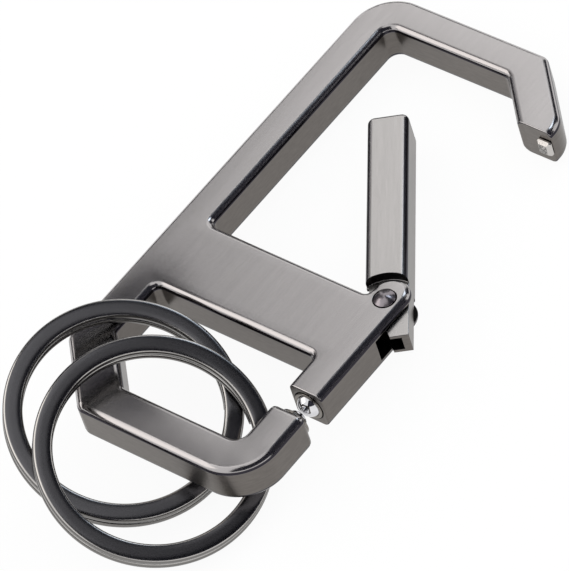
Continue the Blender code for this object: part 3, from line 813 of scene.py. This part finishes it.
def build_plate(scene):
    size = scene.plate_sizes
    thick = size.thickness
    material = plate_finish("brushed_plate_steel", shade("satin"), shade("satin_dark"),
                            cores=plate_cores(size), crown=size.crown, tilt=size.crown_tilt)

    def at_end(edge):
        return any(sum(abs(vert.co.y - end) for vert in edge.verts) < TOUCH
                   for end in (size.nose_end, size.boss_end))

    def radius_of(edge):
        first, second = (vert.co for vert in edge.verts)
        at_stub = abs(first.y - size.stub_end) + abs(second.y - size.stub_end) < TOUCH
        if abs(first.z - second.z) > thick / 2:
            return size.stub_corner if at_stub and edge.calc_face_angle(0.0) > 1.0 else 0.0
        return 0.0 if at_end(edge) else size.edge

    def share_of(edge):
        one_finish = len({face.material_index for face in edge.link_faces}) == 1
        return 1.0 if at_end(edge) and one_finish else size.small_edge / size.end_edge

    piece = carve(plate(plate_corners(size), 0.0, thick), size.edge, radius_of,
                  plate_tools(size, scene.small_sizes), "plate_body", material,
                  cavity_shade_finish("plate_cavity_steel"))
    soften(piece, size.end_edge, share_of)
    move(piece, corner)
    settle(piece, "frame", "frame")


class CARABINER_OT_plate(bpy.types.Operator):
    """Builds the plate: hook, spine, web, boss, lugs and bottom bar"""
    bl_idname = "carabiner.plate"
    bl_label = "Plate"

    def execute(self, context):
        build_plate(context.scene)
        return {"FINISHED"}


def build_gate(scene):
    size = scene.gate_sizes
    plate_size = scene.plate_sizes
    small = scene.small_sizes
    thick = plate_size.thickness
    past = plate_size.lug
    hollow = plate_size.lug + size.side_gap
    inner, outer, tail = size.inner, size.outer, size.tail
    wide = size.shoulder
    slot = tongue(-wide, wide, -tail - past, size.hollow_shade)
    slot_end = tongue(-wide, wide, size.hollow_shade - size.side_gap, wide, wide - TOUCH / 2)
    shoulder_low = sqrt(wide ** 2 - inner ** 2) - size.side_gap
    scoop = Vector((-inner - size.scoop_in, -tail - size.scoop_down, 0.0))
    high = Vector((0.0, 0.0, thick + past))
    low = Vector((0.0, 0.0, -past))
    tip_low, tip_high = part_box("catch_stud")
    stud = (tip_low + tip_high) / 2 - pivot + Vector((0.0, 0.0, thick / 2))
    half = Vector(((tip_high.x - tip_low.x) / 2 + size.slot_gap, 0.0,
                   (tip_high.z - tip_low.z) / 2 + size.slot_gap))
    # Tools marked True give their walls the cavity's painted shade; the shoulder hollow takes it
    # above hollow_shade
    tools = [(plate(outline, *span), dark)
             for outline, dark in ((slot, False), (slot_end, True))
             for span in ((thick - hollow, thick + past), (-past, hollow))]
    tools += [
        (block((-inner - past, -tail - past, -past),
               (-size.tail_inner, shoulder_low, thick + past)), False),
        (block((-inner - past, -tail - past, hollow + size.tail_wall),
               (outer - size.tail_outer_wall, size.channel,
                thick - hollow - size.tail_wall)), True),
        (bar(size.scoop, scoop + low, scoop + high), False),
        (bar(small.rivet + RIVET_PLAY, low, high, 64), True),
        (block((stud.x - half.x, size.reach - size.slot_depth, stud.z - half.z),
               (outer + past, size.reach + past, stud.z + half.z)), False),
    ]
    material = plate_finish("brushed_gate_steel", shade("gate"), shade("gate", 0.9),
                            turned=size.swing, painted_line_top=0.68)

    def radius_of(edge):
        first, second = (vert.co for vert in edge.verts)
        return 0.0 if abs(first.z - second.z) > thick / 2 else size.edge

    shape = plate(tongue(-inner, outer, -tail, size.reach, size.tip), 0.0, thick)
    piece = carve(shape, size.edge, radius_of, tools, "gate_body", material,
                  cavity_shade_finish("gate_cavity_steel"))
    soften(piece, plate_size.small_edge, lambda edge: 1.0)
    move(piece, (pivot.x, pivot.y, 0.0), ("Z", size.swing))
    settle(piece, "gate", "gate")


class CARABINER_OT_gate(bpy.types.Operator):
    """Builds the gate with its hollows round the lugs and its channelled tail"""
    bl_idname = "carabiner.gate"
    bl_label = "Gate"

    def execute(self, context):
        build_gate(context.scene)
        return {"FINISHED"}


def build_rivet(scene):
    small = scene.small_sizes
    low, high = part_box("gate_rivet")
    rise, edge, head = small.rivet_rise, small.rivet_edge, small.rivet_head
    half = [((head - HEAD_SOFT) * step / DOME_STEPS,
             rise - (rise - edge - HEAD_SOFT) * (step / DOME_STEPS) ** DOME_POWER)
            for step in range(DOME_STEPS + 1)]
    half += [(head - 0.3 * HEAD_SOFT, edge + 0.6 * HEAD_SOFT), (head, edge), (head, 0.0),
             (small.rivet, 0.0)]
    top = high.z - low.z - 2 * rise
    profile = [(radius, top + height) for radius, height in half]
    profile += [(radius, -height) for radius, height in reversed(half)]
    piece = spun(profile, "rivet_body", turned_finish(
        "dark_rivet_steel", "rivet", 0.22, (pivot.x, pivot.y, 0.0)))
    move(piece, (pivot.x, pivot.y, low.z + rise), sharp=40.0)
    settle(piece, "gate_rivet", "frame")


class CARABINER_OT_rivet(bpy.types.Operator):
    """Builds the rivet that the gate turns on, with its two domed heads"""
    bl_idname = "carabiner.rivet"
    bl_label = "Rivet"

    def execute(self, context):
        build_rivet(context.scene)
        return {"FINISHED"}


def build_gate_spring(scene):
    small = scene.small_sizes
    turns = 2
    rise = small.gate_pitch * turns
    shape, *ends = coil(small.gate_coil, small.wire, 14, 48, turns, rise)
    for face, leg in zip(ends, SPRING_LEGS):
        extrude(shape, face, (0.0, -leg, 0.0))
        bmesh.ops.delete(shape, geom=[face], context="FACES_ONLY")
    piece = piece_from(shape, "gate_spring_wire", wire_finish("drawn_gate_wire"))
    move(piece, pivot - Vector((0.0, 0.0, rise / 2)),
         ("Z", scene.gate_sizes.swing + pi), sharp=50.0)
    settle(piece, "gate_spring", "gate")


class CARABINER_OT_gate_spring(bpy.types.Operator):
    """Builds the coil spring that closes the gate, in the tail's channel"""
    bl_idname = "carabiner.gate_spring"
    bl_label = "Gate spring"

    def execute(self, context):
        build_gate_spring(context.scene)
        return {"FINISHED"}


def build_stud(scene):
    small = scene.small_sizes
    low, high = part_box("catch_stud")
    centre = (low + high) / 2
    shape = block(low, (high.x, low.y + small.stud_head, high.z))
    lower = [edge for edge in shape.edges
             if all(vert.co.y < low.y + small.stud_head / 2 for vert in edge.verts)]
    bevel(shape, lower, small.stud_chamfer, 1, clamp=True)
    runs = {edge: edge.verts[0].co - edge.verts[1].co for edge in shape.edges}
    upright = [edge for edge, run in runs.items()
               if abs(run.y) > small.stud_head * 0.2 and max(abs(run.x), abs(run.z)) < TOUCH]
    bevel(shape, upright, small.stud_chamfer * 0.6, 1, clamp=True)
    shank = bar(small.stud_shank, (centre.x, low.y + small.stud_head / 2, centre.z),
                (centre.x, high.y, centre.z), 48)
    piece = piece_from(shape, "stud_body", facet_finish("bright_stud_steel"), smooth=False)
    combine(piece, [piece_from(shank, "stud_shank")], "UNION")
    add_bevel(piece, "fine_edges", STUD_EDGE, 2, radians(25.0))
    settle(piece, "catch_stud", "frame")


class CARABINER_OT_stud(bpy.types.Operator):
    """Builds the faceted catch stud in the nose"""
    bl_idname = "carabiner.stud"
    bl_label = "Catch stud"

    def execute(self, context):
        build_stud(context.scene)
        return {"FINISHED"}


def add_sleeve(small, node, centre, way):
    low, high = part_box(node)
    run = high.y - low.y
    rim = small.ball_set_back
    bore = small.sleeve - small.sleeve_wall
    lip = sqrt(small.ball ** 2 - rim ** 2) + LIP_GAP
    lip_deep = rim - LIP_WIDTH
    lip_in = sqrt(small.ball ** 2 - lip_deep ** 2) + LIP_GAP
    profile = [(small.sleeve, rim - run)]
    profile += arc_points(small.sleeve - LIP_SOFT, rim - LIP_SOFT, LIP_SOFT, 0.0, 90.0, 6)
    profile += [(lip + LIP_SOFT, rim), (lip + LIP_SOFT * 0.3, rim - LIP_SOFT * 0.3),
                (lip, rim - LIP_SOFT), (lip_in, lip_deep), (bore, lip_deep),
                (bore, rim - run)]
    material = turned_finish("turned_" + node, "sleeve", 0.20, tuple(centre),
                             (pi / 2, 0.0, 0.0))
    piece = spun(profile, node + "_body", material, closed=True)
    move(piece, centre, ("X", pi / 2 * way), sharp=40.0)
    settle(piece, node, "frame")


def add_ball_spring(small, node, centre, way, drawn):
    shape = coil(small.ball_coil, small.wire, 12, 40, small.ball_coil_turns,
                 small.ball_coil_run - small.wire)[0]
    piece = piece_from(shape, node + "_spring_wire", drawn)
    low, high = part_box(node + "_spring")
    start = low.y + small.wire / 2 if way > 0 else high.y - small.wire / 2
    move(piece, (centre.x, start, centre.z), ("X", -pi / 2 * way), sharp=50.0)
    settle(piece, node + "_spring", node)


def build_balls(scene):
    small = scene.small_sizes
    mirror = mirror_finish("mirror_ball_steel")
    drawn = wire_finish("drawn_ball_wire")
    for node, way in (("upper_ball", 1.0), ("lower_ball", -1.0)):
        low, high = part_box(node)
        centre = (low + high) / 2
        shape = bmesh.new()
        bmesh.ops.create_uvsphere(shape, u_segments=96, v_segments=48, radius=small.ball)
        piece = piece_from(shape, node + "_body", mirror)
        move(piece, centre)
        settle(piece, node, node)
        add_sleeve(small, node + "_sleeve", centre, way)
        add_ball_spring(small, node, centre, way, drawn)


class CARABINER_OT_balls(bpy.types.Operator):
    """Builds the two sprung balls with their sleeves and springs"""
    bl_idname = "carabiner.balls"
    bl_label = "Balls, sleeves and springs"

    def execute(self, context):
        build_balls(context.scene)
        return {"FINISHED"}


def domed(section, middle, reach, half, dome):
    """Adds points across the two flat sides and lifts them into a slight crown."""
    points = []
    for first, second in zip(section, section[1:] + section[:1]):
        points.append(first)
        if abs(first[0] - second[0]) > reach:
            points += [(first[0] + (second[0] - first[0]) * step / RING_SPLITS, first[1])
                       for step in range(1, RING_SPLITS)]
    return [(x, z + copysign(dome, z) * (1 - ((x - middle) / reach) ** 4)
             * min(abs(z) / half, 1.0)) for x, z in points]


def add_ring(size, node, place, tilt, lean, start):
    step = tau / 180
    apart = size.stack - size.layer
    flat = round((tau - size.ramp) / step)
    ramp = round(size.ramp / step)
    last = round((tau - size.ramp - size.end_gap) / step)
    climbs = [0.0] * flat
    for index in range(ramp):
        before, after = (share * share * (3 - 2 * share)
                         for share in (index / ramp, (index + 1) / ramp))
        climbs.append(apart * (after - before))
    climbs += [0.0] * last
    inner, outer = size.outer - size.wire, size.outer
    half, edge = size.layer / 2 - size.dome, size.edge
    section = []
    for x, z, first in ((outer - edge, half - edge, 0.0), (inner + edge, half - edge, 90.0),
                        (inner + edge, edge - half, 180.0), (outer - edge, edge - half, 270.0)):
        section += arc_points(x, z, edge, first, first + 90.0, 6)
    section = domed(section, (inner + outer) / 2, (outer - inner) / 2, half, size.dome)
    section = [(x, 0.0, z - apart / 2) for x, z in section]
    shape = wound(section, step, climbs)[0]
    centre = corner + Vector(place)
    name = node + "_wire"
    piece = piece_from(shape, name, ring_finish(name + "_gunmetal", tuple(centre), tilt, lean))
    move(piece, centre, ("Y", tilt), ("X", lean), ("Z", start), sharp=50.0)
    even_normals(piece)
    settle(piece, node, node)


def build_rings(scene):
    size = scene.ring_sizes
    for side in ("back", "front"):
        add_ring(size, "key_ring_" + side, *(
            getattr(size, side + "_" + part) for part in ("place", "tilt", "lean", "turn")))


class CARABINER_OT_rings(bpy.types.Operator):
    """Builds the two split key rings of flat wire"""
    bl_idname = "carabiner.rings"
    bl_label = "Key rings"

    def execute(self, context):
        build_rings(context.scene)
        return {"FINISHED"}


def add_camera(scene, size):
    data = bpy.data.cameras.new("photo_camera")
    data.sensor_fit = "HORIZONTAL"
    data.sensor_width = 36.0
    data.lens = size.focal
    data.clip_start = 0.01
    data.clip_end = 20.0
    camera = placed("photo_camera", data)
    right = Vector((0.766213, 0.601395, -0.226367))
    down = Vector((0.342158, -0.680015, -0.648466))
    ahead = Vector((-0.543917, 0.419409, -0.726808))
    place = Matrix((right, -down, -ahead)).transposed().to_4x4()
    place.translation = corner + Vector((0.43688, -0.29315, 0.56210))
    camera.matrix_world = place
    scene.camera = camera


def add_world(scene, size):
    world = bpy.data.worlds.new("pale_surroundings")
    world.use_nodes = True
    background = world.node_tree.nodes["Background"].inputs
    background["Color"].default_value = (1.0, 1.0, 1.0, 1.0)
    background["Strength"].default_value = size.sky
    scene.world = world


def add_floor(size):
    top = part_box("frame")[1].y
    slope = max(vert.co.z / (vert.co.y - top) for node in ("key_ring_back", "key_ring_front")
                for vert in frame["nodes"][node].data.vertices)
    shape = bmesh.new()
    bmesh.ops.create_grid(shape, x_segments=1, y_segments=1, size=3.0)
    finish = matte("pale_floor", FLOOR_TONE, 0.9)
    rays = finish.node("ShaderNodeLightPath", {}, {}).socket.node.outputs
    seen = Value(finish, rays["Is Camera Ray"]) + Value(finish, rays["Is Transmission Ray"])
    share = seen * size.floor_lift + Value(finish, rays["Is Glossy Ray"]) * size.mirrored_lift
    glow = finish.node("ShaderNodeEmission", {}, {})
    both = finish.node("ShaderNodeMixShader", {}, {
        0: share.maths("MINIMUM", 1.0), 1: Value(finish, finish.shader.outputs[0]), 2: glow})
    finish.feed(finish.tree.nodes["Material Output"].inputs["Surface"], both)
    piece = piece_from(shape, "floor", finish.material, smooth=False)
    move(piece, (0.0, top, -FLOOR_DROP), ("X", atan(slope)))


def add_cards():
    """Dark cards on a dome, mirrored by the polished roundings, rivet, balls and rings."""
    for name, around, up in CARDS:
        add_card(name, around, up)
    add_card("card_over", (118.0, 182.0), (22.0, 78.0), 0.2, (60.0, 1.0, 6.0))
    # card_heel: a dark sheet over the heel, seen only in reflections, standing in for the shade
    # under the rings
    add_card("card_heel", (106.0, 184.0), (30.0, 76.0), 0.03, (8.0, 8.0, 7.0),
             corner + Vector((2.5, 11.0, 5.65)) * MM)


def add_card(name, around, up, away=0.5, fade=None, centre=(0.0, 0.0, 0.0)):
    """A patch of a sphere; the fade has degrees at its start, at its end, and up and down."""
    card = matte(name, CARD_TONE, 1.0)
    if fade:
        facing = radians(sum(around) / 2)
        x, y, z = card.parts_of(card.place(turned=(0.0, 0.0, facing), centre=centre))
        aside = y.maths("ARCTAN2", x) * (180.0 / pi)
        raised = z.maths("ARCTAN2", (x * x + y * y).maths("SQRT")) * (180.0 / pi)
        half = (around[1] - around[0]) / 2
        cover = (aside.between(-half, fade[0] - half) * aside.between(half, half - fade[1])
                 * raised.between(up[0], up[0] + fade[2])
                 * raised.between(up[1], up[1] - fade[2]))
        card.feed(card.shader.inputs["Alpha"], cover)
    shape = bmesh.new()
    bmesh.ops.create_grid(shape, x_segments=24, y_segments=12, size=0.5)
    for vert in shape.verts:
        vert.co = Vector(centre) + away * direction(
            around[0] + (around[1] - around[0]) * (vert.co.x + 0.5),
            up[0] + (up[1] - up[0]) * (vert.co.y + 0.5))
    patch = piece_from(shape, name, card.material, smooth=False)
    patch.visible_camera = False
    patch.visible_diffuse = False
    patch.visible_shadow = False


def add_lamps(size):
    """A large warm lamp and a small cool one."""
    for name, toward, away, across, tint, share in (
            ("warm_lamp", direction(207.0, 40.0), 0.6, (0.62, 0.36), (1.0, 0.93, 0.87), 1.0),
            ("cool_lamp", direction(88.0, 50.0), 0.45, (0.12, 0.10), (0.75, 0.87, 1.0), 0.22)):
        data = bpy.data.lights.new(name, "AREA")
        data.shape = "RECTANGLE"
        data.size, data.size_y = across
        data.energy = size.lamp * share
        data.color = tint
        lamp = placed(name, data)
        lamp.location = toward * away
        lamp.rotation_euler = toward.to_track_quat("Z", "Y").to_euler()


def build_stage(scene):
    size = scene.stage_sizes
    scene.view_settings.view_transform = "Standard"
    add_camera(scene, size)
    add_world(scene, size)
    add_floor(size)
    add_cards()
    add_lamps(size)


class CARABINER_OT_stage(bpy.types.Operator):
    """Sets the camera, the pale floor, the cards and the lamps"""
    bl_idname = "carabiner.stage"
    bl_label = "Stage"

    def execute(self, context):
        build_stage(context.scene)
        return {"FINISHED"}


OPERATORS = (CARABINER_OT_stage, CARABINER_OT_plate, CARABINER_OT_gate, CARABINER_OT_rivet,
             CARABINER_OT_gate_spring, CARABINER_OT_stud, CARABINER_OT_balls, CARABINER_OT_rings)


class CARABINER_PT_panel(bpy.types.Panel):
    """Lists the pieces and their sizes in the 3D view's sidebar"""
    bl_idname = "CARABINER_PT_panel"
    bl_label = "Carabiner keychain"
    bl_space_type = "VIEW_3D"
    bl_region_type = "UI"
    bl_category = "Carabiner"

    def draw(self, context):
        for operator in OPERATORS:
            self.layout.operator(operator.bl_idname)
        for name, group in GROUPS.items():
            box = self.layout.box()
            box.label(text=group.__doc__)
            for prop in group.__annotations__:
                box.prop(getattr(context.scene, name), prop)


def register():
    for group in GROUPS.values():
        bpy.utils.register_class(group)
    for item in (*OPERATORS, CARABINER_PT_panel):
        bpy.utils.register_class(item)
    for name, group in GROUPS.items():
        setattr(bpy.types.Scene, name, PointerProperty(type=group))


def unregister():
    for name in GROUPS:
        delattr(bpy.types.Scene, name)
    for item in (CARABINER_PT_panel, *reversed(OPERATORS), *GROUPS.values()):
        bpy.utils.unregister_class(item)


def main():
    register()
    for operator in OPERATORS:
        group, action = operator.bl_idname.split(".")
        getattr(getattr(bpy.ops, group), action)()
    bpy.context.view_layer.update()


if __name__ == "__main__":
    main()
